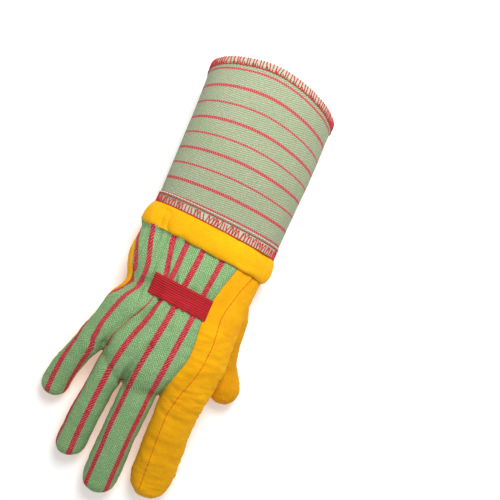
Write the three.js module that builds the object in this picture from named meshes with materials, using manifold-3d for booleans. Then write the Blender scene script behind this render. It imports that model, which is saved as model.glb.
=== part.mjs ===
// A right-hand cotton work glove with a stiff gauntlet cuff, lying palm down.
// Lengths are millimetres. +Y runs from the fingertips to the cuff's open mouth,
// +X points to the thumb side, and +Z is up from the surface that the glove lies on.
// While it is modelled, y = 0 is the seam that joins the gauntlet to the wrist band.
import * as THREE from 'three';
import Module from 'manifold-3d';

const wasm = await Module();
wasm.setup();

// Driving sizes of the gauntlet, the wrist band and the hand
const gauntletLength = 117;
const gauntletWidth = 101;
const gauntletDepth = 72;
const gauntletWall = 1.6;
const rimDip = 9; // how much shorter the gauntlet is cut at its two sides
const bandHeight = 19;
const bandBulge = 3.6;
const bandWall = 2.8;
const bandTuck = 7; // band hidden inside the gauntlet
const cuffSlant = -0.027; // slope across the gauntlet, which fades out at its mouth
const joinSlant = -0.030; // further slope of the cloth next to the join
const bandSlant = -0.074; // slope of the band's lower edge
const slantReach = 6;
const handTuck = 8; // hand hidden inside the band
const tuckShare = 0.955; // how much narrower the hand's hidden edge is
const palmLength = 109;
const palmWidth = 100;
const palmDepth = 50;
const fleeceWall = 2.6;
const drillWall = 1.8;
const tapeLength = 45;
const tapeHeight = 15.5;
const tapeThickness = 1.4;
const gatherDepth = 1.1;
const seamGap = 0.5;
const restHeight = 0; // cloth that reaches the surface lies flat on it

// Fineness of the facets
const fingerColumns = 6; // columns on each half of a finger
const cuffColumns = 44;
const gauntletRows = [0, 0.06, 0.25, 0.44, 0.63, 0.82, 1];
const tapeColumns = 12;

// Every section is a rounded oval. left, right: shares of the width from the midline.
// mid: height of the oval's middle; rise, drop: its reach above and below, as shares
// of the depth; tilt: slope of the middle towards the thumb side.
const squareness = 2.3;
const gauntletSections = [
  { along: 0.00, left: -0.461, right: 0.493, mid: 0.379, rise: 0.365, drop: 0.355, tilt: -0.06 },
  { along: 0.06, left: -0.460, right: 0.498, mid: 0.382, rise: 0.375, drop: 0.392, tilt: -0.09 },
  { along: 0.40, left: -0.462, right: 0.509, mid: 0.425, rise: 0.440, drop: 0.450, tilt: -0.12 },
  { along: 0.68, left: -0.473, right: 0.509, mid: 0.455, rise: 0.480, drop: 0.486, tilt: -0.14 },
  { along: 1.00, left: -0.503, right: 0.508, mid: 0.486, rise: 0.507, drop: 0.514, tilt: -0.14 },
];
// seam: how far the striped back's edge stands above the middle on the little finger's side.
// thumbSeam: its other edge. ringLine, middleLine: where the fingers' columns run.
// waist: how strongly the elastic tape draws the section in.
const handSections = [
  { along: 0.02, left: -0.493, right: 0.479, mid: 0.55, rise: 0.49, drop: 0.45, tilt: 0.00,
    seam: 0.05, thumbSeam: 0.266, middleLine: -0.067, ringLine: -0.31, waist: 0.2 },
  { along: 0.14, left: -0.503, right: 0.472, mid: 0.56, rise: 0.49, drop: 0.46, tilt: 0.01,
    seam: 0.38, thumbSeam: 0.230, middleLine: -0.075, ringLine: -0.27, waist: 0.6 },
  { along: 0.24, left: -0.487, right: 0.470, mid: 0.57, rise: 0.47, drop: 0.46, tilt: 0.02,
    seam: 0.49, thumbSeam: 0.203, middleLine: -0.082, ringLine: -0.25, waist: 0.9 },
  { along: 0.30, left: -0.459, right: 0.470, mid: 0.57, rise: 0.46, drop: 0.46, tilt: 0.02,
    seam: 0.50, thumbSeam: 0.190, middleLine: -0.088, ringLine: -0.25, waist: 1.0 },
  { along: 0.35, left: -0.442, right: 0.470, mid: 0.58, rise: 0.46, drop: 0.46, tilt: 0.03,
    seam: 0.45, thumbSeam: 0.183, middleLine: -0.092, ringLine: -0.26, waist: 1.0 },
  { along: 0.40, left: -0.454, right: 0.472, mid: 0.58, rise: 0.46, drop: 0.46, tilt: 0.03,
    seam: 0.33, thumbSeam: 0.181, middleLine: -0.098, ringLine: -0.27, waist: 0.9 },
  { along: 0.46, left: -0.496, right: 0.474, mid: 0.59, rise: 0.47, drop: 0.45, tilt: 0.04,
    seam: 0.12, thumbSeam: 0.186, middleLine: -0.105, ringLine: -0.29, waist: 0.5 },
  { along: 0.52, left: -0.512, right: 0.477, mid: 0.59, rise: 0.47, drop: 0.44, tilt: 0.05,
    seam: 0.00, thumbSeam: 0.194, middleLine: -0.115, ringLine: -0.31, waist: 0.2 },
  { along: 0.60, left: -0.527, right: 0.482, mid: 0.60, rise: 0.45, drop: 0.42, tilt: 0.06,
    seam: 0.00, thumbSeam: 0.200, middleLine: -0.130, ringLine: -0.34, waist: 0.0 },
  { along: 0.68, left: -0.555, right: 0.486, mid: 0.60, rise: 0.43, drop: 0.40, tilt: 0.07,
    seam: 0.00, thumbSeam: 0.196, middleLine: -0.142, ringLine: -0.36, waist: 0.0 },
];
// How far the rows between the last section and the finger roots have gone, and how far
// they have taken on the fingers' round shape
const knuckleRows = [
  { along: 0.35, round: 0.10 },
  { along: 0.65, round: 0.36 },
  { along: 0.87, round: 0.70 },
];
// Points where the fingers part, from the little finger's side to the thumb side
const crotches = [
  { x: -0.590, along: 0.760 },
  { x: -0.381, along: 0.848 },
  { x: -0.162, along: 0.998 },
  { x: 0.114, along: 0.983 },
  { x: 0.450, along: 0.942 },
];
// root, tip: heights of a finger's middle, as shares of the palm's depth.
// lean, tipLean: degrees from -Y towards +X where it starts and where it ends.
const fingers = [
  { name: 'little', length: 53, width: 20.8, depth: 20.5, root: 0.53, tip: 0.205, lean: -25, tipLean: -6 },
  { name: 'ring', length: 73.5, width: 22.8, depth: 22.5, root: 0.565, tip: 0.225, lean: -9, tipLean: -1 },
  { name: 'middle', length: 82, width: 26.6, depth: 25.0, root: 0.59, tip: 0.25, lean: -3, tipLean: 2 },
  { name: 'index', length: 75, width: 31.8, depth: 27.5, root: 0.615, tip: 0.275, lean: 2, tipLean: 3.5 },
];
// Rings of a finger: along is a share of its length up to the round tip
const fingerRings = [
  { along: 0.09, width: 0.97, depth: 0.99 },
  { along: 0.24, width: 0.94, depth: 0.97 },
  { along: 0.44, width: 0.95, depth: 0.98 },
  { along: 0.66, width: 0.99, depth: 1.00 },
  { along: 0.86, width: 1.00, depth: 1.00 },
  { along: 1.00, width: 0.99, depth: 1.00 },
];
const tipAngles = [28, 52, 73];
// The thumb's own line. x: share of palmWidth; along, mid: shares of palmLength and palmDepth
const thumbWidth = 25;
const thumbDepth = 23;
const thumbSections = [
  { x: 0.300, along: 0.09, mid: 0.500, width: 0.98, depth: 1.00 },
  { x: 0.330, along: 0.24, mid: 0.460, width: 1.24, depth: 1.28 },
  { x: 0.375, along: 0.40, mid: 0.400, width: 1.22, depth: 1.26 },
  { x: 0.415, along: 0.55, mid: 0.322, width: 1.07, depth: 1.14 },
  { x: 0.465, along: 0.655, mid: 0.262, width: 0.98, depth: 1.04 },
  { x: 0.512, along: 0.735, mid: 0.238, width: 0.97, depth: 1.00 },
  { x: 0.548, along: 0.785, mid: 0.230, width: 0.98, depth: 0.98 },
];
// Broad dents. x, along, across, reach: place and half sizes as shares of palmWidth and
// palmLength; depth: share of palmDepth
const backDents = [
  { x: -0.03, along: 0.33, across: 0.34, reach: 0.09, depth: 0.035 },
  { x: -0.35, along: 0.35, across: 0.12, reach: 0.07, depth: 0.07 },
  { x: -0.22, along: 0.62, across: 0.05, reach: 0.20, depth: 0.035 },
];
const palmDents = [
  { x: -0.05, along: 0.62, across: 0.22, reach: 0.20, depth: 0.07 },
  { x: 0.08, along: 0.25, across: 0.08, reach: 0.20, depth: 0.05 },
];

const { lerp, degToRad } = THREE.MathUtils;
const wristLine = -bandHeight;

// Reads a table of sections at a share of its length
function sectionAt(table, along) {
  const last = table.length - 1;
  let i = 0;
  while (i < last - 1 && table[i + 1].along < along) i += 1;
  const [a, b] = [table[i], table[i + 1]];
  const t = (along - a.along) / (b.along - a.along);
  const section = {};
  for (const key of Object.keys(a)) section[key] = lerp(a[key], b[key], t);
  return section;
}

// A section's shares as lengths
function oval(section, width, depth) {
  return {
    left: section.left * width,
    right: section.right * width,
    mid: section.mid * depth,
    rise: section.rise * depth,
    drop: section.drop * depth,
    tilt: section.tilt,
  };
}

// The glove's oval at a place along it, from the palm to the mouth
function gloveOval(y) {
  const first = oval(gauntletSections[0], gauntletWidth, gauntletDepth);
  if (y >= 0) {
    return oval(sectionAt(gauntletSections, Math.min(y / gauntletLength, 1)), gauntletWidth, gauntletDepth);
  }
  if (y >= wristLine) {
    const wrist = oval(sectionAt(handSections, 0), palmWidth, palmDepth);
    const t = y / wristLine;
    const mixed = {};
    for (const key of Object.keys(wrist)) mixed[key] = lerp(first[key], wrist[key], t);
    return mixed;
  }
  return oval(sectionAt(handSections, (wristLine - y) / palmLength), palmWidth, palmDepth);
}

// A point on an oval; the angle runs from 0 on the thumb side over the back to pi
function ovalPoint(o, angle, y, grow = 0) {
  const centre = (o.left + o.right) / 2;
  const half = (o.right - o.left) / 2;
  const round = (value) => Math.sign(value) * Math.abs(value) ** (2 / squareness);
  const x = half * round(Math.cos(angle));
  const reach = Math.sin(angle) >= 0 ? o.rise : o.drop;
  const z = o.mid + reach * round(Math.sin(angle)) + o.tilt * x;
  const out = new THREE.Vector2(Math.cos(angle) / half, Math.sin(angle) / reach).normalize();
  if (z < restHeight) out.set(0, -1);
  const height = Math.max(z, restHeight) + grow * out.y;
  return new THREE.Vector3(centre + x + grow * out.x, y, Math.max(height, restHeight));
}

// The angle at which an oval has this x
function angleAt(o, x) {
  const share = (x - (o.left + o.right) / 2) / ((o.right - o.left) / 2);
  return Math.acos(Math.sign(share) * Math.min(Math.abs(share), 1) ** (squareness / 2));
}

function dentDepth(dents, x, along) {
  let depth = 0;
  for (const dent of dents) {
    const across = (x / palmWidth - dent.x) / dent.across;
    const reach = (along - dent.along) / dent.reach;
    depth += dent.depth * palmDepth * Math.exp(-(across ** 2) - reach ** 2);
  }
  return depth;
}

// One row of points round the palm, from the striped back's edge on the little finger's
// side over the back to the thumb side, and back under the palm
function palmRow(section, y) {
  const o = oval(section, palmWidth, palmDepth);
  const back = [
    Math.PI - Math.asin(section.seam ** (squareness / 2)),
    angleAt(o, section.ringLine * palmWidth),
    angleAt(o, section.middleLine * palmWidth),
    angleAt(o, section.thumbSeam * palmWidth),
    0,
  ];
  const under = [0, -angleAt(o, section.thumbSeam * palmWidth), -angleAt(o, section.middleLine * palmWidth),
    -angleAt(o, section.ringLine * palmWidth), back[0] - 2 * Math.PI];
  const row = [];
  for (const [side, stops] of [['back', back], ['under', under]]) {
    for (let group = 0; group < fingers.length; group += 1) {
      for (let i = 0; i < fingerColumns; i += 1) {
        const angle = lerp(stops[group], stops[group + 1], i / fingerColumns);
        const p = ovalPoint(o, angle, y);
        const fade = Math.abs(Math.sin(angle));
        const drawnIn = i % 2 === 1 && group < fingers.length - 1 ? gatherDepth * section.waist : 0;
        if (side === 'back') p.z -= fade * (dentDepth(backDents, p.x, section.along) + drawnIn);
        else p.z += fade * dentDepth(palmDents, p.x, section.along);
        row.push(p);
      }
    }
  }
  return row;
}

function crotchPoint(i, height) {
  return new THREE.Vector3(crotches[i].x * palmWidth, wristLine - crotches[i].along * palmLength, height);
}

// Where a finger starts: its middle, and the half of it that reaches to the thumb side
function fingerRoot(j) {
  const height = fingers[j].root * palmDepth;
  const left = crotchPoint(j, height);
  const right = crotchPoint(j + 1, height);
  return { middle: left.clone().add(right).multiplyScalar(0.5), half: right.sub(left).multiplyScalar(0.5) };
}

// The round row where the fingers start, in the order of palmRow
function rootRow() {
  const row = [];
  const order = [...fingers.keys()];
  for (const [start, groups] of [[Math.PI, order], [0, order.slice().reverse()]]) {
    for (const j of groups) {
      const { middle, half } = fingerRoot(j);
      for (let i = 0; i < fingerColumns; i += 1) {
        const angle = start - (Math.PI * i) / fingerColumns;
        const p = middle.clone().addScaledVector(half, Math.cos(angle));
        p.z += (fingers[j].depth / 2) * Math.sin(angle);
        const parting = i === 0 && ((start > 0 && j > 0) || (start === 0 && j < fingers.length - 1));
        if (parting) {
          const next = start > 0 ? j - 1 : j + 1;
          p.z = ((fingers[j].root + fingers[next].root) / 2) * palmDepth;
        }
        row.push(p);
      }
    }
  }
  return row;
}

// Rings of a finger beyond its root, each of 2 * fingerColumns points, and its tip
function fingerRows(j) {
  const finger = fingers[j];
  const root = fingerRoot(j);
  const dome = finger.width / 2;
  const rings = fingerRings.map((r) => ({ ...r, at: r.along * (finger.length - dome) }));
  for (const degrees of tipAngles) {
    const angle = degToRad(degrees);
    const scale = Math.cos(angle);
    rings.push({ at: finger.length - dome + dome * Math.sin(angle), width: scale, depth: scale, cap: true });
  }
  rings.push({ at: finger.length, width: 0, depth: 0, cap: true });
  const centre = root.middle.clone();
  let gone = 0;
  return rings.map((ring) => {
    const share = ring.at / finger.length;
    const lean = degToRad(lerp(finger.lean, finger.tipLean, (gone + ring.at) / 2 / finger.length));
    centre.x += (ring.at - gone) * Math.sin(lean);
    centre.y -= (ring.at - gone) * Math.cos(lean);
    gone = ring.at;
    const drop = Math.min(share / (1 - dome / finger.length), 1);
    centre.z = palmDepth * lerp(finger.root, finger.tip, drop ** 1.15);
    const square = new THREE.Vector3(Math.cos(lean), Math.sin(lean), 0).multiplyScalar(finger.width / 2);
    const settled = Math.min(share / 0.25, 1);
    const half = root.half.clone().lerp(square, settled).multiplyScalar(ring.width);
    const points = [];
    for (let i = 0; i < 2 * fingerColumns; i += 1) {
      const angle = Math.PI - (Math.PI * i) / fingerColumns;
      const p = centre.clone().addScaledVector(half, Math.cos(angle));
      p.z = Math.max(p.z + (finger.depth / 2) * ring.depth * Math.sin(angle), restHeight);
      points.push(p);
    }
    return ring.width === 0 ? [centre.clone()] : points;
  });
}

// A surface of shared points and faces, each face marked with the panel that it is cut from
class Surface {
  constructor() {
    this.points = [];
    this.faces = [];
  }

  addPoints(points) {
    return points.map((p) => this.points.push(p) - 1);
  }

  // Joins two rows of point numbers, of which the second may be one point
  join(rowA, rowB, panelOf, closed = true) {
    const count = closed ? rowA.length : rowA.length - 1;
    for (let i = 0; i < count; i += 1) {
      const k = (i + 1) % rowA.length;
      const panel = panelOf(i);
      if (rowB.length === 1) {
        this.faces.push({ panel, ids: [rowA[i], rowA[k], rowB[0]] });
      } else {
        this.faces.push({ panel, ids: [rowA[i], rowA[k], rowB[k]] });
        this.faces.push({ panel, ids: [rowA[i], rowB[k], rowB[i]] });
      }
    }
  }

  normals() {
    const sums = this.points.map(() => new THREE.Vector3());
    for (const { ids } of this.faces) {
      const [a, b, c] = ids.map((id) => this.points[id]);
      const cross = b.clone().sub(a).cross(c.clone().sub(a));
      for (const id of ids) sums[id].add(cross);
    }
    return sums.map((n) => n.normalize());
  }
}

function geometryOf(points, triangles) {
  const geometry = new THREE.BufferGeometry();
  const flat = new Float32Array(points.flatMap((p) => [p.x, p.y, p.z]));
  geometry.setAttribute('position', new THREE.BufferAttribute(flat, 3));
  geometry.setIndex(triangles.flat());
  return geometry;
}

// The edges that only one of these triangles has, in the triangles' own direction
function openEdges(triangles) {
  const edges = new Map();
  for (const [a, b, c] of triangles) {
    for (const [from, to] of [[a, b], [b, c], [c, a]]) {
      if (edges.has(`${to},${from}`)) edges.delete(`${to},${from}`);
      else edges.set(`${from},${to}`, [from, to]);
    }
  }
  return [...edges.values()];
}

// Gives one panel of a surface its wall, inwards from the surface, and draws its sewn
// edges back by half of the seam's gap. Edges whose points are in keep stay in place.
function clothPanel(surface, panel, wall, keep = new Set()) {
  const normals = surface.normals();
  const triangles = surface.faces.filter((f) => f.panel === panel).map((f) => f.ids);
  const edges = openEdges(triangles);
  const onEdge = new Set(edges.flat());
  const ids = [...new Set(triangles.flat())];
  const place = new Map(ids.map((id, i) => [id, i]));
  const outer = ids.map((id) => surface.points[id].clone());
  const along = new Map([...onEdge].map((id) => [id, new THREE.Vector3()]));
  for (const [from, to] of edges) {
    const way = surface.points[to].clone().sub(surface.points[from]).normalize();
    along.get(from).add(way);
    along.get(to).add(way);
  }
  for (const id of onEdge) {
    if (keep.has(id)) continue;
    const near = triangles.filter((t) => t.includes(id)).flat();
    const inside = near.filter((other) => !onEdge.has(other));
    const aim = new THREE.Vector3();
    const chosen = inside.length > 0 ? inside : near.filter((other) => other !== id);
    for (const other of chosen) aim.addScaledVector(surface.points[other], 1 / chosen.length);
    const square = along.get(id).cross(normals[id]).normalize();
    const side = Math.sign(aim.sub(surface.points[id]).dot(square));
    outer[place.get(id)].addScaledVector(square, (side * seamGap) / 2);
  }
  const inner = outer.map((p, i) => p.clone().addScaledVector(normals[ids[i]], -wall));
  const count = ids.length;
  const shell = [];
  for (const t of triangles) {
    const [a, b, c] = t.map((id) => place.get(id));
    shell.push([a, b, c], [c + count, b + count, a + count]);
  }
  for (const [from, to] of edges) {
    const [a, b] = [place.get(from), place.get(to)];
    shell.push([b, a, a + count], [b, a + count, b + count]);
  }
  return geometryOf([...outer, ...inner], shell);
}

// A surface as a closed body, its open ends covered, grown outwards by a distance
function closedBody(surface, grow) {
  const normals = surface.normals();
  const points = surface.points.map((p, i) => p.clone().addScaledVector(normals[i], grow));
  const triangles = surface.faces.map((f) => f.ids);
  const edges = openEdges(triangles);
  const centre = new THREE.Vector3();
  for (const [from] of edges) centre.addScaledVector(points[from], 1 / edges.length);
  points.push(centre);
  for (const [from, to] of edges) triangles.push([to, from, points.length - 1]);
  return geometryOf(points, triangles);
}

function toSolid(geometry) {
  return new wasm.Manifold(new wasm.Mesh({
    numProp: 3,
    vertProperties: geometry.attributes.position.array,
    triVerts: new Uint32Array(geometry.index.array),
  }));
}

function toGeometry(solid) {
  const mesh = solid.getMesh();
  const geometry = new THREE.BufferGeometry();
  geometry.setAttribute('position', new THREE.BufferAttribute(new Float32Array(mesh.vertProperties), 3));
  geometry.setIndex([...mesh.triVerts]);
  return geometry;
}

// The hand without its thumb: the palm's rows, the finger roots and the fingers
function handSurface() {
  const surface = new Surface();
  const backColumns = (fingers.length - 1) * fingerColumns;
  const panelOfColumn = (i) => (i < backColumns ? 'back' : 'palm');
  const tucked = { ...handSections[0], along: 0, seam: 0.02 };
  for (const key of ['left', 'right', 'rise', 'drop']) tucked[key] *= tuckShare;
  const tuckRow = palmRow(tucked, wristLine + handTuck);
  const rows = [tuckRow];
  for (const section of handSections) rows.push(palmRow(section, wristLine - section.along * palmLength));
  const lastPalm = rows[rows.length - 1];
  const roots = rootRow();
  for (const row of knuckleRows) {
    rows.push(lastPalm.map((p, i) => {
      const mixed = p.clone().lerp(roots[i], row.along);
      mixed.z = lerp(p.z, roots[i].z, row.round);
      return mixed;
    }));
  }
  const numbers = rows.map((row) => surface.addPoints(row));
  const rootNumbers = surface.addPoints(roots);
  const total = roots.length;
  for (let j = 1; j < fingers.length; j += 1) {
    rootNumbers[total - j * fingerColumns] = rootNumbers[j * fingerColumns];
  }
  numbers.push(rootNumbers);
  for (let r = 0; r + 1 < numbers.length; r += 1) {
    surface.join(numbers[r + 1], numbers[r], panelOfColumn);
  }
  fingers.forEach((finger, j) => {
    const over = rootNumbers.slice(j * fingerColumns, (j + 1) * fingerColumns);
    const start = total - (j + 1) * fingerColumns;
    const under = rootNumbers.slice(start, start + fingerColumns);
    let previous = [...over, ...under];
    fingerRows(j).forEach((ring, r) => {
      const wrap = r > 0 ? 'index' : 'palm';
      const upper = finger.name === 'index' ? wrap : 'back';
      const lower = finger.name === 'index' ? wrap : 'palm';
      const half = (i) => (i < fingerColumns ? upper : lower);
      const next = surface.addPoints(ring);
      surface.join(previous.slice().reverse(), next.slice().reverse(), (i) => {
        const column = (2 * previous.length - 2 - i) % previous.length;
        return half(column);
      });
      previous = next;
    });
  });
  return { surface, openEnd: new Set(numbers[0]) };
}

// The thumb's tube, from deep inside the palm to its round tip
function thumbSurface() {
  const surface = new Surface();
  const columns = 2 * fingerColumns + 2;
  const middles = thumbSections.map((s) => new THREE.Vector3(
    s.x * palmWidth,
    wristLine - s.along * palmLength,
    s.mid * palmDepth,
  ));
  const dome = thumbWidth / 2;
  const ends = middles.length - 1;
  const tipWay = middles[ends].clone().sub(middles[ends - 1]).setZ(0).normalize();
  const rings = middles.map((middle, i) => {
    const way = middles[Math.min(i + 1, ends)].clone().sub(middles[Math.max(i - 1, 0)]).setZ(0).normalize();
    return { middle, way, width: thumbSections[i].width, depth: thumbSections[i].depth };
  });
  const last = rings[ends];
  for (const degrees of tipAngles) {
    const angle = degToRad(degrees);
    rings.push({
      middle: last.middle.clone().addScaledVector(tipWay, dome * Math.sin(angle)),
      way: tipWay,
      width: last.width * Math.cos(angle),
      depth: last.depth * Math.cos(angle),
    });
  }
  let previous = null;
  for (const ring of rings) {
    const side = new THREE.Vector3(-ring.way.y, ring.way.x, 0);
    const points = [];
    for (let i = 0; i < columns; i += 1) {
      const angle = (2 * Math.PI * i) / columns;
      const p = ring.middle.clone().addScaledVector(side, (thumbWidth / 2) * ring.width * Math.cos(angle));
      p.z = Math.max(p.z + (thumbDepth / 2) * ring.depth * Math.sin(angle), restHeight);
      points.push(p);
    }
    const numbers = surface.addPoints(points);
    if (previous) surface.join(previous, numbers, () => 'thumb');
    previous = numbers;
  }
  const tip = surface.addPoints([last.middle.clone().addScaledVector(tipWay, dome)]);
  surface.join(previous, tip, () => 'thumb');
  return surface;
}

// The join runs a little askew: lower on the thumb side
function slanted(p) {
  const y = Math.max(p.y, 0);
  const above = cuffSlant * (1 - y / gauntletLength) + joinSlant * Math.exp(-y / slantReach);
  const slope = p.y < 0 ? lerp(above, bandSlant, p.y / wristLine) : above;
  p.y += slope * p.x;
  return p;
}

// The stiff striped cuff, open at both ends, its mouth cut in a shallow arch
function gauntletGeometry() {
  const surface = new Surface();
  let previous = null;
  for (const share of gauntletRows) {
    const points = [];
    for (let i = 0; i < cuffColumns; i += 1) {
      const angle = (2 * Math.PI * i) / cuffColumns;
      const dip = rimDip * Math.abs(Math.cos(angle)) ** 1.4;
      const y = (gauntletLength - dip) * share;
      points.push(slanted(ovalPoint(gloveOval(y), angle, y)));
    }
    const numbers = surface.addPoints(points);
    if (previous) surface.join(numbers, previous, () => 'gauntlet');
    previous = numbers;
  }
  return clothPanel(surface, 'gauntlet', gauntletWall, new Set(surface.points.keys()));
}

// The fleece band: it rolls out over the hand's edge and tucks inside the gauntlet
function bandGeometry() {
  const inset = -gauntletWall - 1.5 * seamGap;
  const profile = [
    { y: -bandHeight, out: seamGap },
    { y: -bandHeight * 0.97, out: bandWall },
    { y: -bandHeight * 0.80, out: bandBulge },
    { y: -bandHeight * 0.45, out: bandBulge },
    { y: -bandHeight * 0.15, out: bandBulge * 0.62 },
    { y: -seamGap, out: seamGap },
    { y: -seamGap, out: inset },
    { y: bandTuck, out: inset },
    { y: bandTuck, out: inset - bandWall },
    { y: -seamGap, out: inset - bandWall },
    { y: -bandHeight * 0.30, out: bandBulge * 0.62 - bandWall },
    { y: -bandHeight * 0.50, out: bandBulge - bandWall },
    { y: -bandHeight * 0.80, out: bandBulge - bandWall },
  ];
  const surface = new Surface();
  const rings = profile.map(({ y, out }) => {
    const points = [];
    for (let i = 0; i < cuffColumns; i += 1) {
      points.push(slanted(ovalPoint(gloveOval(y), (2 * Math.PI * i) / cuffColumns, y, out)));
    }
    return surface.addPoints(points);
  });
  rings.forEach((ring, i) => surface.join(rings[(i + 1) % rings.length], ring, () => 'band'));
  return geometryOf(surface.points, surface.faces.map((f) => f.ids));
}

// The elastic tape, sewn flat across the back over the gathers
function tapeGeometry() {
  const middleX = -0.032 * palmWidth;
  const middleY = wristLine - 0.33 * palmLength;
  const slope = -0.075;
  const surface = new Surface();
  const layers = [2 * seamGap, 2 * seamGap + tapeThickness].map((lift) => [-0.5, 0, 0.5].map((up) => {
    const row = [];
    for (let i = 0; i <= tapeColumns; i += 1) {
      const x = middleX + tapeLength * (i / tapeColumns - 0.5);
      const y = middleY + slope * (x - middleX) + tapeHeight * up;
      const o = gloveOval(y);
      const p = ovalPoint(o, angleAt(o, x), y);
      p.z += lift - dentDepth(backDents, x, (wristLine - y) / palmLength);
      row.push(p);
    }
    return row;
  }));
  const [under, over] = layers.map((rows) => rows.map((row) => surface.addPoints(row)));
  const skin = () => 'tape';
  for (let r = 0; r + 1 < over.length; r += 1) {
    surface.join(over[r], over[r + 1], skin, false);
    surface.join(under[r + 1], under[r], skin, false);
  }
  const last = over.length - 1;
  surface.join(over[last], under[last], skin, false);
  surface.join(under[0], over[0], skin, false);
  const edge = (rows, at) => rows.map((row) => row.at(at));
  surface.join(edge(over, 0), edge(under, 0), skin, false);
  surface.join(edge(under, -1), edge(over, -1), skin, false);
  return geometryOf(surface.points, surface.faces.map((f) => f.ids));
}

// The palm has a hole where the thumb's hollow enters it, and the thumb ends at the palm
function palmAndThumb(hand) {
  const thumb = thumbSurface();
  const thumbInside = toSolid(closedBody(thumb, -fleeceWall));
  const thumbOutside = toSolid(closedBody(thumb, 0));
  const handBody = toSolid(closedBody(hand.surface, seamGap));
  const palm = toSolid(clothPanel(hand.surface, 'palm', fleeceWall, hand.openEnd));
  return {
    palm: toGeometry(palm.subtract(thumbInside)),
    thumb: toGeometry(thumbOutside.subtract(thumbInside).subtract(handBody)),
  };
}

const fleece = new THREE.MeshStandardMaterial({ color: 0xf2ae0c, roughness: 0.95, metalness: 0 });
const stripedDrill = new THREE.MeshStandardMaterial({ color: 0x86b27c, roughness: 0.9, metalness: 0 });
const starchedDrill = new THREE.MeshStandardMaterial({ color: 0xa3b78e, roughness: 0.8, metalness: 0 });
const elastic = new THREE.MeshStandardMaterial({ color: 0xc01f26, roughness: 0.75, metalness: 0 });

const glove = new THREE.Group();

function addPiece(name, geometry, material) {
  geometry.computeVertexNormals();
  const mesh = new THREE.Mesh(geometry, material);
  mesh.name = name;
  glove.add(mesh);
}

const hand = handSurface();
const { palm, thumb } = palmAndThumb(hand);
addPiece('gauntlet_cuff', gauntletGeometry(), starchedDrill);
addPiece('wrist_band', bandGeometry(), fleece);
addPiece('striped_back', clothPanel(hand.surface, 'back', drillWall, hand.openEnd), stripedDrill);
addPiece('fleece_palm', palm, fleece);
addPiece('index_wrap', clothPanel(hand.surface, 'index', fleeceWall), fleece);
addPiece('fleece_thumb', thumb, fleece);
addPiece('elastic_tape', tapeGeometry(), elastic);

// The origin is the middle of the glove's outline, on the surface that it lies on
const bounds = new THREE.Box3().setFromObject(glove);
const middle = bounds.getCenter(new THREE.Vector3());
glove.position.set(-middle.x, -middle.y, -bounds.min.z);

export default glove;
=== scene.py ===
"""A cotton work glove lying palm down: its looks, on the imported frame."""
import math
import bmesh
import bpy
import numpy as np
from mathutils import Matrix, Vector, noise
from mathutils.bvhtree import BVHTree
from mathutils.kdtree import KDTree


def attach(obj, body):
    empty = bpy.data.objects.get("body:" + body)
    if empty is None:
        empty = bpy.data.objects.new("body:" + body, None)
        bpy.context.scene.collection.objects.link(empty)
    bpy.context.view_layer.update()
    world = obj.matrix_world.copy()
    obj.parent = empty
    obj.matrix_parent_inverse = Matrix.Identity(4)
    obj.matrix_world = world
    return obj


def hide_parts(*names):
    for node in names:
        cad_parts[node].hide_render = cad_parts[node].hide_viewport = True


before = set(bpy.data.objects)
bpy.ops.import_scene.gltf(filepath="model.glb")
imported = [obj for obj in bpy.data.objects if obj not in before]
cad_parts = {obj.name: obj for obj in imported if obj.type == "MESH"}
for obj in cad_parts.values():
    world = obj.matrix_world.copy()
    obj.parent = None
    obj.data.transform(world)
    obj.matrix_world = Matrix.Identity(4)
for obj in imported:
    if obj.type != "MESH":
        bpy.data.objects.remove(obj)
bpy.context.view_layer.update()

MM = 0.001
TAU = 2 * math.pi
# The glove is modelled in millimetres with y = 0 at the seam of the gauntlet and the band.
# This is where that seam's middle lies in the frame.
SHIFT = Vector((2.841, 45.731, 0.0))

# Driving sizes
GAUNTLET_LENGTH, GAUNTLET_WIDTH, GAUNTLET_DEPTH = 117.0, 101.0, 72.0
GAUNTLET_WALL = 1.4
RIM_DIP = 9.0
BAND_HEIGHT, BAND_BULGE, BAND_WALL, BAND_TUCK = 19.0, 3.9, 2.8, 7.0
CUFF_SLANT, JOIN_SLANT, BAND_SLANT = -0.027, -0.030, -0.074
HAND_TUCK, TUCK_SHARE, TUCKED_SEAM = 8.0, 0.955, 0.02
TUCK_RISE = 2.6
PALM_LENGTH, PALM_WIDTH, PALM_DEPTH = 109.0, 100.0, 50.0
FLEECE_WALL, DRILL_WALL = 2.2, 1.5
TAPE_LENGTH, TAPE_HEIGHT, TAPE_THICKNESS, TAPE_RIB = 45.0, 15.5, 1.3, 1.55
# Where the tape's middle lies, as shares of the palm, and how far it leans
TAPE_ALONG, TAPE_ACROSS, TAPE_SLOPE = 0.324, -0.024, -0.075
SQUARENESS = 2.3
# Far enough over or under the glove to start a ray there
FAR = 150
COLUMNS, CUFF_COLUMNS = 6, 44
WRIST = -BAND_HEIGHT
# How high over the floor each cloth and thread stays
CLOTH_REST, CUFF_REST, BAND_REST = 0.15, 0.05, 0.10
THREAD_REST, STITCH_REST, QUILT_REST = 0.05, 0.12, 0.10


def table(names, rows):
    keys = names.split()
    return [dict(zip(keys, row)) for row in rows]


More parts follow.
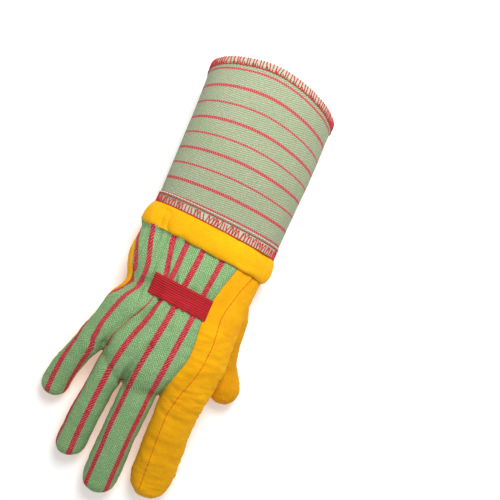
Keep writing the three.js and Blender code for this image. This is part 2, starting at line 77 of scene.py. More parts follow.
GAUNTLET = table("along left right mid rise drop tilt", [
    (0.00, -0.461, 0.493, 0.379, 0.365, 0.355, -0.06),
    (0.06, -0.460, 0.498, 0.382, 0.375, 0.392, -0.09),
    (0.40, -0.462, 0.509, 0.425, 0.440, 0.450, -0.12),
    (0.68, -0.473, 0.509, 0.455, 0.480, 0.486, -0.14),
    (1.00, -0.503, 0.508, 0.486, 0.507, 0.514, -0.14)])
HAND = table("along left right mid rise drop tilt seam thumbSeam middleLine ringLine", [
    (0.02, -0.493, 0.479, 0.55, 0.49, 0.45, 0.00, 0.05, 0.266, -0.067, -0.31),
    (0.14, -0.503, 0.472, 0.56, 0.49, 0.46, 0.01, 0.38, 0.230, -0.075, -0.27),
    (0.24, -0.487, 0.470, 0.57, 0.47, 0.46, 0.02, 0.50, 0.203, -0.082, -0.25),
    (0.30, -0.459, 0.470, 0.57, 0.46, 0.46, 0.02, 0.52, 0.190, -0.088, -0.25),
    (0.35, -0.442, 0.470, 0.58, 0.46, 0.46, 0.03, 0.47, 0.183, -0.092, -0.26),
    (0.40, -0.454, 0.472, 0.58, 0.46, 0.46, 0.03, 0.35, 0.181, -0.098, -0.27),
    (0.46, -0.496, 0.474, 0.59, 0.47, 0.45, 0.04, 0.12, 0.186, -0.105, -0.29),
    (0.52, -0.512, 0.477, 0.59, 0.47, 0.44, 0.05, 0.00, 0.194, -0.115, -0.31),
    (0.60, -0.527, 0.482, 0.60, 0.45, 0.42, 0.06, 0.00, 0.200, -0.130, -0.34),
    (0.68, -0.555, 0.486, 0.60, 0.43, 0.40, 0.07, 0.00, 0.196, -0.142, -0.36)])
KNUCKLES = table("along round", [(0.35, 0.10), (0.65, 0.36), (0.87, 0.70)])
CROTCHES = table("x along", [
    (-0.590, 0.760), (-0.381, 0.848), (-0.162, 0.998), (0.114, 0.983), (0.450, 0.942)])
# tipStripe is the stripe number at the middle of the finger's tip
# pitch is the millimetres from stripe to stripe
FINGERS = table("name length width depth root tip lean tipLean tipStripe pitch", [
    ("little", 53.0, 20.8, 20.5, 0.53, 0.205, -25.0, -6.0, 0.08, 15.0),
    ("ring", 73.5, 22.8, 22.5, 0.565, 0.225, -9.0, -1.0, 2.80, 15.0),
    ("middle", 82.0, 26.6, 25.0, 0.59, 0.25, -3.0, 2.0, 4.50, 17.0),
    ("index", 75.0, 31.8, 27.5, 0.615, 0.275, 2.0, 3.5, 6.8, 15.0)])
FINGER_RINGS = table("along width depth", [
    (0.09, 0.97, 0.99), (0.24, 0.94, 0.97), (0.44, 0.95, 0.98),
    (0.66, 0.99, 1.00), (0.86, 1.00, 1.00), (1.00, 0.99, 1.00)])
TIP_ANGLES = (28.0, 52.0, 73.0)
# THUMB_CLOTH is the cloth between two columns of points round the thumb
THUMB_WIDTH, THUMB_DEPTH, THUMB_CLOTH = 25.0, 23.0, 5.6
THUMB = table("x along mid width depth", [
    (0.300, 0.09, 0.500, 0.98, 1.00), (0.330, 0.24, 0.460, 1.24, 1.28),
    (0.375, 0.40, 0.400, 1.22, 1.26), (0.415, 0.55, 0.322, 1.07, 1.14),
    (0.465, 0.655, 0.262, 0.98, 1.04), (0.512, 0.735, 0.238, 0.97, 1.00),
    (0.548, 0.785, 0.230, 0.98, 0.98)])
BACK_DENTS = table("x along across reach depth", [
    (-0.03, 0.33, 0.34, 0.09, 0.035), (-0.35, 0.35, 0.12, 0.07, 0.07),
    (-0.22, 0.62, 0.05, 0.20, 0.035)])
PALM_DENTS = table("x along across reach depth", [
    (-0.05, 0.62, 0.22, 0.20, 0.07), (0.08, 0.25, 0.08, 0.20, 0.05)])
STRIPE_PITCH, CUFF_PITCH = 15.0, 12.15
FIRST_CUFF_STRIPE, LAST_STRIPE = 10.0, 8
# Middle lines of the back's bold stripes over the hand, from the band to the fingers:
# x at each y from the seam, in millimetres
STRIPE_Y = (-17, -31, -45, -58, -65, -72, -80, -90, -100, -110, -120)
STRIPE_X = (
    (-50.0, -46.5, -40.2, -37.6, -44.0, -50.5, -53.2, -55.0, -57.8, -60.0, -61.0),
    (-39.4, -36.0, -31.9, -33.0, -36.7, -39.7, -42.5, -44.4, -45.9, -46.8, -47.4),
    (-23.0, -19.8, -17.2, -18.4, -19.8, -22.0, -25.5, -34.0, -37.2, -38.3, -39.0),
    (-12.6, -13.3, -13.9, -14.4, -15.3, -16.4, -17.9, -21.3, -24.2, -26.3, -27.5),
    (-0.8, -1.5, -2.8, -3.2, -3.6, -4.7, -5.2, -6.6, -7.9, -9.3, -9.9),
    (14.5, 13.7, 12.3, 11.6, 11.1, 10.4, 9.8, 8.5, 7.9, 6.9, 5.8),
    (29.0, 28.0, 26.5, 26.0, 25.6, 25.2, 24.6, 23.4, 22.6, 21.6, 20.4))

# Folds in the back of the hand, as places in plan
LONG_FOLD = [(-16, -62), (-19, -68), (-24, -78), (-31, -86), (-36, -95), (-38.5, -107)]
SIDE_FOLD = [(-26, -54), (-34, -60), (-43, -65), (-50, -71)]
FORK_FOLD = [(-16, -127), (-15, -118), (-12, -106), (-8, -94)]


def lerp(a, b, t):
    return a + (b - a) * t


def smooth(a, b, x):
    t = np.clip((np.asarray(x, float) - a) / (b - a), 0, 1)
    return t * t * (3 - 2 * t)


def section_at(rows, along):
    i = 0
    while i < len(rows) - 2 and rows[i + 1]["along"] < along:
        i += 1
    a, b = rows[i], rows[i + 1]
    t = (along - a["along"]) / (b["along"] - a["along"])
    return {key: lerp(a[key], b[key], t) for key in a}


def oval(section, width, depth):
    return dict(left=section["left"] * width, right=section["right"] * width,
                mid=section["mid"] * depth, rise=section["rise"] * depth,
                drop=section["drop"] * depth, tilt=section["tilt"])


def glove_oval(y):
    if y >= 0:
        share = min(y / GAUNTLET_LENGTH, 1)
        return oval(section_at(GAUNTLET, share), GAUNTLET_WIDTH, GAUNTLET_DEPTH)
    if y >= WRIST:
        first = oval(GAUNTLET[0], GAUNTLET_WIDTH, GAUNTLET_DEPTH)
        wrist = oval(section_at(HAND, 0), PALM_WIDTH, PALM_DEPTH)
        return {key: lerp(first[key], wrist[key], y / WRIST) for key in first}
    return oval(section_at(HAND, (WRIST - y) / PALM_LENGTH), PALM_WIDTH, PALM_DEPTH)


def power(value):
    return math.copysign(abs(value) ** (2 / SQUARENESS), value)


def oval_point(o, angle, y, grow=0.0):
    centre, half = (o["left"] + o["right"]) / 2, (o["right"] - o["left"]) / 2
    x = half * power(math.cos(angle))
    reach = o["rise"] if math.sin(angle) >= 0 else o["drop"]
    z = o["mid"] + reach * power(math.sin(angle)) + o["tilt"] * x
    out = Vector((math.cos(angle) / half, math.sin(angle) / reach)).normalized()
    if z < 0:
        out = Vector((0, -1))
    return Vector((centre + x + grow * out.x, y, max(max(z, 0) + grow * out.y, 0)))


def angle_at(o, x):
    share = (x - (o["left"] + o["right"]) / 2) / ((o["right"] - o["left"]) / 2)
    return math.acos(math.copysign(min(abs(share), 1) ** (SQUARENESS / 2), share))


def dent_depth(dents, x, along):
    return sum(d["depth"] * PALM_DEPTH * math.exp(
        -((x / PALM_WIDTH - d["x"]) / d["across"]) ** 2
        - ((along - d["along"]) / d["reach"]) ** 2) for d in dents)


def palm_row(section, y):
    o = oval(section, PALM_WIDTH, PALM_DEPTH)
    lines = [angle_at(o, section[k] * PALM_WIDTH) for k in ("ringLine", "middleLine", "thumbSeam")]
    first = math.pi - math.asin(section["seam"] ** (SQUARENESS / 2))
    stops = [first] + lines + [0.0]
    under = [0.0] + [-a for a in reversed(lines)] + [first - 2 * math.pi]
    row = []
    for side, marks in ((1, stops), (0, under)):
        for group in range(4):
            for i in range(COLUMNS):
                angle = lerp(marks[group], marks[group + 1], i / COLUMNS)
                p = oval_point(o, angle, y)
                fade = abs(math.sin(angle))
                if side:
                    p.z -= fade * dent_depth(BACK_DENTS, p.x, section["along"])
                else:
                    p.z += fade * dent_depth(PALM_DENTS, p.x, section["along"])
                row.append(p)
    return row


def crotch_point(i, height):
    c = CROTCHES[i]
    return Vector((c["x"] * PALM_WIDTH, WRIST - c["along"] * PALM_LENGTH, height))


def finger_root(j):
    height = FINGERS[j]["root"] * PALM_DEPTH
    left, right = crotch_point(j, height), crotch_point(j + 1, height)
    return (left + right) / 2, (right - left) / 2


def root_row():
    row = []
    for start, groups in ((math.pi, (0, 1, 2, 3)), (0.0, (3, 2, 1, 0))):
        for j in groups:
            middle, half = finger_root(j)
            for i in range(COLUMNS):
                angle = start - math.pi * i / COLUMNS
                p = middle + half * math.cos(angle)
                p.z += FINGERS[j]["depth"] / 2 * math.sin(angle)
                if i == 0 and (j > 0 if start else j < 3):
                    other = j - 1 if start else j + 1
                    p.z = (FINGERS[j]["root"] + FINGERS[other]["root"]) / 2 * PALM_DEPTH
                row.append(p)
    return row


def finger_rows(j):
    f = FINGERS[j]
    middle, root_half = finger_root(j)
    dome = f["width"] / 2
    rings = [(r["along"] * (f["length"] - dome), r["width"], r["depth"]) for r in FINGER_RINGS]
    for degrees in TIP_ANGLES:
        a = math.radians(degrees)
        rings.append((f["length"] - dome + dome * math.sin(a), math.cos(a), math.cos(a)))
    rings.append((f["length"], 0.0, 0.0))
    centre, gone, out = middle.copy(), 0.0, []
    for at, wide, deep in rings:
        share = at / f["length"]
        lean = math.radians(lerp(f["lean"], f["tipLean"], (gone + at) / 2 / f["length"]))
        centre = centre + Vector((math.sin(lean), -math.cos(lean), 0)) * (at - gone)
        gone = at
        drop = min(share / (1 - dome / f["length"]), 1)
        centre.z = PALM_DEPTH * lerp(f["root"], f["tip"], drop ** 1.15)
        square = Vector((math.cos(lean), math.sin(lean), 0)) * (f["width"] / 2)
        half = root_half.lerp(square, min(share / 0.25, 1)) * wide
        points = []
        for i in range(2 * COLUMNS):
            angle = math.pi - math.pi * i / COLUMNS
            p = centre + half * math.cos(angle)
            p.z = max(p.z + f["depth"] / 2 * deep * math.sin(angle), 0)
            points.append(p)
        out.append((at, share, wide, points if wide > 0 else [centre.copy()]))
    return out


def finger_stripes(j, share, wide):
    """The stripe numbers of a finger's columns at a share of its length."""
    f, root = FINGERS[j], finger_root(j)[0]
    middle = lerp(planar_stripe(root.x, root.y), f["tipStripe"], share ** 0.6)
    half = f["width"] * 0.8 / f["pitch"] * min(wide, 1.0)
    return [middle + (i / COLUMNS - 0.5) * 2 * half for i in range(2 * COLUMNS + 1)]


def planar_stripe(x, y):
    """The stripe number at a place on the back of the hand."""
    depths = [-v for v in STRIPE_Y]
    xs = [float(np.interp(-y, depths, line)) for line in STRIPE_X]
    if x < xs[0]:
        return (x - xs[0]) / STRIPE_PITCH
    return float(np.interp(x, xs, range(len(xs))))


def row_stripes(row, lengths):
    """Stripe numbers along a row round the hand, and the cloth from stripe to stripe."""
    numbers = [planar_stripe(p.x, p.y) for p in row + row[:1]]
    first = next(i for i, number in enumerate(numbers) if number > 0.05)
    for i in range(first):
        numbers[i] = numbers[first] - (lengths[first] - lengths[i]) / STRIPE_PITCH
    gaps = np.abs(np.gradient(lengths)) / np.maximum(np.abs(np.gradient(numbers)), 1e-3)
    return numbers, np.clip(gaps, 4.0, 24.0).tolist()


def slanted(p):
    """The join runs a little askew: lower on the thumb side."""
    y = max(p.y, 0)
    above = CUFF_SLANT * (1 - y / GAUNTLET_LENGTH) + JOIN_SLANT * math.exp(-y / 6)
    slope = lerp(above, BAND_SLANT, p.y / WRIST) if p.y < 0 else above
    return Vector((p.x, p.y + slope * p.x, p.z))


class Cage:
    """Points and faces with a cloth coordinate at each face corner."""

    def __init__(self):
        self.points, self.faces, self.panels = [], [], []
        self.cloth, self.stripe = [], []

    def add(self, points):
        start = len(self.points)
        self.points.extend(points)
        return list(range(start, len(self.points)))

    def face(self, ids, cloth, stripe=None, panel=0):
        self.faces.append(ids)
        self.cloth.extend(cloth)
        self.stripe.extend(stripe or [(0, 0)] * len(ids))
        self.panels.append(panel)

    def strip(self, a, b):
        """Faces between two rings; a ring is its ids, their cloth places and their stripes."""
        for i in range(len(a[0])):
            n = (i + 1) % len(a[0])
            corners = ((b, i, i), (b, n, i + 1), (a, n, i + 1), (a, i, i))
            self.face([ring[0][at] for ring, at, _ in corners],
                      [ring[1][at] for ring, _, at in corners],
                      [ring[2][at] for ring, _, at in corners])

    def mesh(self, name="cage", points=None):
        m = bpy.data.meshes.new(name)
        m.from_pydata([tuple(p) for p in (points or self.points)], [], self.faces)
        for label, values in (("cloth", self.cloth), ("stripe", self.stripe)):
            layer = m.uv_layers.new(name=label)
            layer.data.foreach_set("uv", np.array(values, float).ravel())
        m.polygons.foreach_set("material_index", np.array(self.panels, np.int32))
        m.update()
        return m


def apply(obj, modifier):
    """Applies a modifier as by hand, with nothing else selected."""
    bpy.ops.object.select_all(action="DESELECT")
    bpy.context.view_layer.objects.active = obj
    obj.select_set(True)
    bpy.ops.object.modifier_apply(modifier=modifier.name)


def subdivided(mesh, levels):
    obj = bpy.data.objects.new("cage", mesh)
    bpy.context.scene.collection.objects.link(obj)
    smoothing = obj.modifiers.new("smooth", "SUBSURF")
    smoothing.levels = smoothing.render_levels = levels
    smoothing.uv_smooth = "PRESERVE_BOUNDARIES"
    apply(obj, smoothing)
    out = obj.data
    bpy.data.objects.remove(obj)
    return out


def through_points(cage, levels, rounds=2):
    """Subdivides a cage so that the smooth surface passes close to the cage's own points."""
    wanted = np.array([tuple(p) for p in cage.points])
    moved = wanted.copy()
    for _ in range(rounds):
        mesh = subdivided(cage.mesh(points=[tuple(p) for p in moved]), 2)
        co = np.empty(len(mesh.vertices) * 3)
        mesh.vertices.foreach_get("co", co)
        limit = co.reshape(-1, 3)[:len(wanted)]
        moved += 0.9 * (wanted - limit)
        bpy.data.meshes.remove(mesh)
    return subdivided(cage.mesh(points=[tuple(p) for p in moved]), levels)


def tree_of(mesh):
    return BVHTree.FromPolygons([tuple(v.co) for v in mesh.vertices],
                                [tuple(f.vertices) for f in mesh.polygons])


def coords(mesh):
    co = np.empty(len(mesh.vertices) * 3)
    mesh.vertices.foreach_get("co", co)
    return co.reshape(-1, 3)


def vertex_normals(mesh):
    no = np.empty(len(mesh.vertices) * 3)
    mesh.vertex_normals.foreach_get("vector", no)
    return no.reshape(-1, 3)


def lay(mesh, co, least):
    """Gives a mesh its final points, none lower than least."""
    co[:, 2] = np.maximum(co[:, 2], least)
    set_coords(mesh, co)


def set_coords(mesh, co):
    mesh.vertices.foreach_set("co", np.ascontiguousarray(co).ravel())
    mesh.update()


def corner_to_vertex(mesh, label):
    loops = np.empty(len(mesh.loops), np.int32)
    mesh.loops.foreach_get("vertex_index", loops)
    uv = np.empty(len(mesh.loops) * 2)
    mesh.uv_layers[label].data.foreach_get("uv", uv)
    out = np.zeros((len(mesh.vertices), 2))
    out[loops] = uv.reshape(-1, 2)
    return out


def fractal(co, scale, octaves=3, seed=0.0):
    offset = Vector((seed * 7.3, seed * 3.1, seed * 5.7))
    return np.array([noise.fractal(Vector(p) / scale + offset, 0.9, 2.1, octaves) for p in co])


def groove(co, path, width):
    """How close each point is to a path in plan: 1 on it, falling to 0."""
    path = np.array(path, float)
    near = np.full(len(co), 1e9)
    for a, b in zip(path[:-1], path[1:]):
        d = b - a
        t = np.clip(((co[:, :2] - a) @ d) / (d @ d), 0, 1)
        near = np.minimum(near, np.linalg.norm(co[:, :2] - (a + t[:, None] * d), axis=1))
    return np.exp(-(near / width) ** 2)


def piece_from(mesh, name, material, wall=0.0, panel=None):
    """A finished piece in metres, in the frame, with its wall inwards."""
    mesh = mesh.copy()
    mesh.name = name
    if panel is not None:
        bm = bmesh.new()
        bm.from_mesh(mesh)
        others = [f for f in bm.faces if f.material_index != panel]
        bmesh.ops.delete(bm, geom=others, context="FACES")
        for f in bm.faces:
            f.material_index = 0
        bm.to_mesh(mesh)
        bm.free()
    set_coords(mesh, (coords(mesh) + np.array(SHIFT)) * MM)
    mesh.polygons.foreach_set("use_smooth", np.ones(len(mesh.polygons), bool))
    mesh.materials.clear()
    mesh.materials.append(material)
    obj = bpy.data.objects.new(name, mesh)
    bpy.context.scene.collection.objects.link(obj)
    if wall:
        thickness = obj.modifiers.new("wall", "SOLIDIFY")
        thickness.thickness, thickness.offset = wall * MM, -1.0
        apply(obj, thickness)
    return obj


# Materials

def linear(rgb):
    """A shader colour from one written with 0 to 255."""
    return tuple((c / 255 / 12.92) if c <= 10 else ((c / 255 + 0.055) / 1.055) ** 2.4
                 for c in rgb) + (1.0,)


class Value:
    """A node socket that ordinary arithmetic works on."""

    def __init__(self, material, socket):
        self.material, self.socket = material, socket

    def math(self, kind, *others):
        inputs = dict(enumerate((self, *others)))
        return self.material.node("ShaderNodeMath", {"operation": kind}, inputs)

    def step(self, low, high):
        """0 below low, 1 above high, with a smooth rise between them."""
        return self.material.node(
            "ShaderNodeMapRange", {"interpolation_type": "SMOOTHSTEP"},
            {"Value": self, "From Min": low, "From Max": high}, "Result")

    def __add__(self, other):
        return self.math("ADD", other)

    def __sub__(self, other):
        return self.math("SUBTRACT", other)

    def __rsub__(self, other):
        return (self * -1.0) + other

    def __mul__(self, other):
        return self.math("MULTIPLY", other)

    def __truediv__(self, other):
        return self.math("DIVIDE", other)

    def abs(self):
        return self.math("ABSOLUTE")

    def fract(self):
        return self.math("FRACT")

    def floor(self):
        return self.math("FLOOR")

    def sin(self):
        return self.math("SINE")

    def less(self, other):
        return self.math("LESS_THAN", other)

    __radd__, __rmul__ = __add__, __mul__


class Material:
    """A Principled material; node() makes every other node in it."""

    def __init__(self, name, roughness):
        self.material = bpy.data.materials.new(name)
        self.material.use_nodes = True
        self.tree = self.material.node_tree
        self.shader = self.tree.nodes["Principled BSDF"]
        self.fill(self.shader, {"Roughness": roughness, "Specular IOR Level": 0.25})

    def fill(self, node, inputs):
        """Gives a node's inputs their sockets, colours or plain numbers."""
        for key, value in inputs.items():
            if isinstance(value, Value):
                self.tree.links.new(value.socket, node.inputs[key])
            else:
                colour = isinstance(value, tuple)
                node.inputs[key].default_value = linear(value) if colour else value

    def node(self, kind, settings, inputs, output=0):
        node = self.tree.nodes.new(kind)
        for name, value in settings.items():
            setattr(node, name, value)
        self.fill(node, inputs)
        return Value(self, node.outputs[output])

    def uv(self, label):
        layer = self.node("ShaderNodeUVMap", {"uv_map": label}, {})
        first = self.node("ShaderNodeSeparateXYZ", {}, {0: layer})
        return first, Value(self, first.socket.node.outputs[1])

    def place(self):
        return self.node("ShaderNodeTexCoord", {}, {}, "Object")

    def join(self, x, y, z=0.0):
        return self.node("ShaderNodeCombineXYZ", {}, {0: x, 1: y, 2: z})

    def noise(self, vector, scale, detail=2.0, rough=0.5):
        inputs = {"Vector": vector, "Scale": scale, "Detail": detail, "Roughness": rough}
        return self.node("ShaderNodeTexNoise", {}, inputs, "Fac")

    def mix(self, factor, a, b):
        return self.node("ShaderNodeMix", {"data_type": "RGBA"}, {0: factor, 6: a, 7: b}, 2)

    def finish(self, colour, height=None, strength=0.5, distance=0.0004):
        self.fill(self.shader, {"Base Color": colour})
        if height is not None:
            inputs = {"Strength": strength, "Distance": distance, "Height": height}
            self.fill(self.shader, {"Normal": self.node("ShaderNodeBump", {}, inputs)})
        return self.material


def fleece_material(name, light=(250, 184, 4), dark=(224, 148, 0)):
    m = Material(name, 0.95)
    u, v = m.uv("cloth")
    spot = m.place()
    nap = m.noise(spot, 900.0, 3.0, 0.65)
    blot = m.noise(spot, 60.0, 3.0, 0.6)
    fibre = m.noise(m.join(u * 0.9, v * 2.6, 0.0), 1.0, 3.0, 0.6)
    shade = (nap * 0.35 + blot * 0.45 + fibre * 0.35).step(0.32, 0.80)
    colour = m.mix(shade, dark, light)
    height = nap * 0.7 + fibre * 0.6 + blot * 0.8
    m.fill(m.shader, {"Sheen Weight": 0.25, "Sheen Roughness": 0.5, "Sheen Tint": (255, 196, 40)})
    return m.finish(colour, height, 0.55, 0.0007)


# Millimetres: a chevron of the herringbone, one of its ridges, half a stripe and half a hidden one
CHEVRON, RIDGE, STRIPE_HALF, HIDDEN_HALF = 7.0, 1.7, 2.05, 0.50


def drill_material():
    """Green herringbone with bold red stripes whose twill shows as slanting hatches."""
    m = Material("striped_drill", 0.88)
    u, v = m.uv("cloth")
    s, pitch = m.uv("stripe")
    spot = m.place()
    fuzz = m.noise(spot, 1100.0, 2.0, 0.6)
    patch = m.noise(spot, 45.0, 3.0, 0.6)
    fleck = m.noise(m.join(u * 1.3, v * 0.8), 1.0, 2.0, 0.6)
    zig = ((u / CHEVRON).fract() - 0.5).abs() * 2.0
    diagonal = (v + zig * (CHEVRON / 2)) / RIDGE + (fuzz - 0.5) * 0.7
    ridge = (diagonal.fract() - 0.5).abs() * 2.0
    warp = ((u / 0.9) * TAU).sin() * 0.5 + 0.5
    green = m.mix(ridge.step(0.05, 0.95), (108, 152, 92), (144, 184, 128))
    green = m.mix((ridge * 0.3 + fleck).step(0.66, 0.84) * 0.65, green, (196, 222, 180))
    green = m.mix(patch.step(0.35, 0.75) * 0.30, green, (104, 152, 88))
    wander = (m.noise(m.join(v * 0.8, s.floor() * 3.0), 1.0, 2.0) - 0.5) * 0.7
    off = ((s + 0.5).fract() - 0.5).abs() * pitch + wander
    # One stripe sinks into the fold that runs from the tape to the fingers
    fold = v.step(38.0, 60.0) * (1.0 - v.step(112.0, 124.0))
    hidden = (s - 2.0).abs().less(0.5) * fold
    reach = STRIPE_HALF - hidden * (STRIPE_HALF - HIDDEN_HALF)
    inside = 1.0 - (off - reach).step(-0.15, 0.15)
    hatch = ((v * 0.8 + s * STRIPE_PITCH) / 1.9 + (fuzz - 0.5) * 0.5).fract()
    thread = 1.0 - (hatch - 0.5).abs().step(0.08, 0.24)
    red = m.mix(fuzz.step(0.35, 0.7) * 0.5, (192, 34, 50), (158, 22, 38))
    red = m.mix(thread * fleck.step(0.35, 0.6) * 0.75, red, (232, 150, 150))
    colour = m.mix(inside, green, red)
    height = ridge * 0.7 + warp * 0.2 + fuzz * 0.5
    return m.finish(colour, height, 0.6, 0.0006)


def starched_material():
    """Pale green twill, its thin red stripes running round the cuff."""
    m = Material("starched_drill", 0.8)
    u, v = m.uv("cloth")
    row, _ = m.uv("stripe")
    spot = m.place()
    fuzz = m.noise(spot, 1200.0, 2.0, 0.6)
    patch = m.noise(spot, 35.0, 3.0, 0.6)
    fleck = m.noise(m.join(u * 0.9, v * 1.3), 1.0, 2.0, 0.6)
    tan = m.noise(m.join(u * 1.1 + 40.0, v * 1.1), 1.0, 1.0, 0.5)
    diagonal = (u * 0.75 + v) / 1.5 + (fuzz - 0.5) * 0.6
    ridge = (diagonal.fract() - 0.5).abs() * 2.0
    cloth = m.mix(ridge.step(0.15, 0.85), (128, 144, 110), (174, 182, 150))
    cloth = m.mix((fleck + ridge * 0.2).step(0.60, 0.78) * 0.6, cloth, (206, 208, 186))
    cloth = m.mix(tan.step(0.58, 0.70) * 0.45, cloth, (186, 146, 124))
    cloth = m.mix(patch.step(0.35, 0.8) * 0.25, cloth, (134, 158, 116))
    # Between the overlock's bars the turned edge is paler
    edge = row.less(-0.32) + (1.0 - row.less(LAST_STRIPE + 0.40))
    cloth = m.mix(edge * 0.55, cloth, (214, 220, 198))
    wander = (m.noise(m.join(u * 0.25, row.floor() * 5.0), 1.0, 2.0) - 0.5) * 0.5
    off = ((row + 0.5).fract() - 0.5).abs() * CUFF_PITCH + wander
    even = ((row + 0.5) / 2.0).fract() - 0.5
    reach = even.step(-0.001, 0.001) * 0.35 + 0.52
    inside = 1.0 - (off - reach).step(0.0, 0.32)
    slant = (u - v * 0.8) / 1.7 + (fuzz - 0.5) * 0.4
    hatch = (slant.fract() - 0.5).abs().step(0.22, 0.42)
    red = m.mix(hatch * 0.70, (182, 38, 54), (216, 146, 138))
    limit = row.less(LAST_STRIPE + 0.5) * (1.0 - row.less(-0.5))
    colour = m.mix(inside * limit, cloth, red)
    height = ridge * 0.6 + fuzz * 0.5
    return m.finish(colour, height, 0.7, 0.0005)


def thread_material(name, light, dark):
    m = Material(name, 0.7)
    u, v = m.uv("cloth")
    ply = ((u * 1.4 + v) * TAU).sin() * 0.5 + 0.5
    fuzz = m.noise(m.place(), 2500.0, 2.0)
    colour = m.mix((ply * 0.6 + fuzz * 0.5).step(0.2, 0.9), dark, light)
    return m.finish(colour, ply + fuzz * 0.4, 0.5, 0.0001)


def elastic_material():
    """Ribs along the tape, broken by the needle's crosswise lines."""
    m = Material("elastic_tape", 0.7)
    u, v = m.uv("cloth")
    spot = m.place()
    fuzz = m.noise(spot, 1800.0, 2.0)
    rib = ((v / TAPE_RIB).fract() - 0.5).abs() * 2.0
    cross = ((u / 0.5) * TAU).sin() * 0.5 + 0.5
    fade = m.noise(m.join(u * 0.12, v * 0.9), 1.0, 2.0)
    colour = m.mix((rib * 0.8 + fuzz * 0.3).step(0.10, 0.65), (126, 14, 24), (196, 34, 42))
    colour = m.mix(fade.step(0.45, 0.75) * 0.5, colour, (214, 52, 56))
    return m.finish(colour, rib + cross * 0.15 + fuzz * 0.2, 0.8, 0.0006)


mat_fleece = fleece_material("palm_fleece")
mat_band = fleece_material("band_fleece", (255, 194, 6), (232, 158, 0))
# The thumb's fleece is the palm's fleece made darker: painted shade on the thumb, not a different cloth
mat_thumb_shaded_fleece = fleece_material("thumb_fleece", (236, 168, 4), (204, 132, 0))
mat_drill = drill_material()
mat_starched = starched_material()
mat_elastic = elastic_material()
mat_red = thread_material("red_thread", (212, 62, 64), (178, 40, 46))
mat_orange = thread_material("quilting_thread", (226, 84, 20), (190, 56, 12))
mat_white = thread_material("white_thread", (228, 228, 212), (192, 196, 176))


# The hand

def row_lengths(row):
    out = [0.0]
    for a, b in zip(row, row[1:] + row[:1]):
        out.append(out[-1] + (b - a).length)
    return out


def hand_cage():
    cage = Cage()
    back_columns = 3 * COLUMNS
    tucked = dict(HAND[0], along=0.0, seam=TUCKED_SEAM)
    for key in ("left", "right", "rise", "drop"):
        tucked[key] *= TUCK_SHARE
    rows = [palm_row(tucked, WRIST + HAND_TUCK)]
    rows += [palm_row(s, WRIST - s["along"] * PALM_LENGTH) for s in HAND]
    last, roots = rows[-1], root_row()
    for k in KNUCKLES:
        mixed = []
        for p, q in zip(last, roots):
            r = p.lerp(q, k["along"])
            r.z = lerp(p.z, q.z, k["round"])
            mixed.append(r)
        rows.append(mixed)
    rows.append(roots)
    total = len(roots)
    numbers = [cage.add(row) for row in rows[:-1]]
    root_ids = cage.add(roots)
    for j in range(1, 4):
        root_ids[total - j * COLUMNS] = root_ids[j * COLUMNS]
    numbers.append(root_ids)

    across, stripes, spacing = [], [], []
    middle = 2 * COLUMNS
    for row in rows:
        lengths = row_lengths(row)
        across.append([value - lengths[middle] for value in lengths])
        numbers_here, gaps_here = row_stripes(row, lengths)
        stripes.append(numbers_here)
        spacing.append(gaps_here)
    # Towards the roots a stripe takes up its place on the finger
    for j, f in enumerate(FINGERS):
        numbers_there = finger_stripes(j, 0.0, 1.0)
        for i in range(1, COLUMNS):
            column = j * COLUMNS + i
            for k, weight in ((-2, 0.7), (-3, 0.35)):
                w = weight * abs(i / COLUMNS - 0.5) * 2
                stripes[k][column] = lerp(stripes[k][column], numbers_there[i], w)
                spacing[k][column] = lerp(spacing[k][column], f["pitch"], w)
    for k in range(len(rows) - 1):
        a, b = numbers[k], numbers[k + 1]
        for i in range(total):
            n = (i + 1) % total
            ids = (b[i], b[n], a[n], a[i])
            ys = [-rows[k + 1][i].y, -rows[k + 1][n].y, -rows[k][n].y, -rows[k][i].y]
            us = [across[k + 1][i], across[k + 1][i + 1], across[k][i + 1], across[k][i]]
            s0, s1 = stripes[k + 1][i], stripes[k + 1][i + 1]
            gaps = [spacing[k + 1][i], spacing[k + 1][i + 1], spacing[k][i + 1], spacing[k][i]]
            if k + 1 == len(rows) - 1 and i < back_columns:
                g = i // COLUMNS
                s0, s1 = finger_stripes(g, 0.0, 1.0)[i - g * COLUMNS:i - g * COLUMNS + 2]
                gaps[0] = gaps[1] = FINGERS[g]["pitch"]
            cage.face(ids, list(zip(us, ys)),
                      list(zip((s0, s1, stripes[k][i + 1], stripes[k][i]), gaps)),
                      0 if i < back_columns else 1)
    for j, f in enumerate(FINGERS):
        over = root_ids[j * COLUMNS:(j + 1) * COLUMNS]
        start = total - (j + 1) * COLUMNS
        under = root_ids[start:start + COLUMNS]
        previous = over + under
        root_y = -finger_root(j)[0].y
        u_mid = across[-1][j * COLUMNS + COLUMNS // 2]
        step = f["width"] * 1.6 / COLUMNS
        u_of = [u_mid + (i - COLUMNS / 2) * step for i in range(2 * COLUMNS + 1)]
        before, before_at = finger_stripes(j, 0.0, 1.0), 0.0
        for at, share, wide, points in finger_rows(j):
            ids = cage.add(points)
            here = finger_stripes(j, share, wide)
            pitch = f["pitch"]
            for i in range(2 * COLUMNS):
                n = (i + 1) % (2 * COLUMNS)
                panel = 0 if i < COLUMNS and f["name"] != "index" else 1
                v0, v1 = root_y + before_at, root_y + at
                if len(ids) == 1:
                    mid_u = (u_of[i] + u_of[i + 1]) / 2
                    cage.face((previous[n], previous[i], ids[0]),
                              [(u_of[i + 1], v0), (u_of[i], v0), (mid_u, v1)],
                              [(before[i + 1], pitch), (before[i], pitch), (here[i], pitch)], panel)
                else:
                    cage.face((previous[n], previous[i], ids[i], ids[n]),
                              [(u_of[i + 1], v0), (u_of[i], v0), (u_of[i], v1), (u_of[i + 1], v1)],
                              [(before[i + 1], pitch), (before[i], pitch),
                               (here[i], pitch), (here[i + 1], pitch)], panel)
            previous, before, before_at = ids, here, at
    return cage


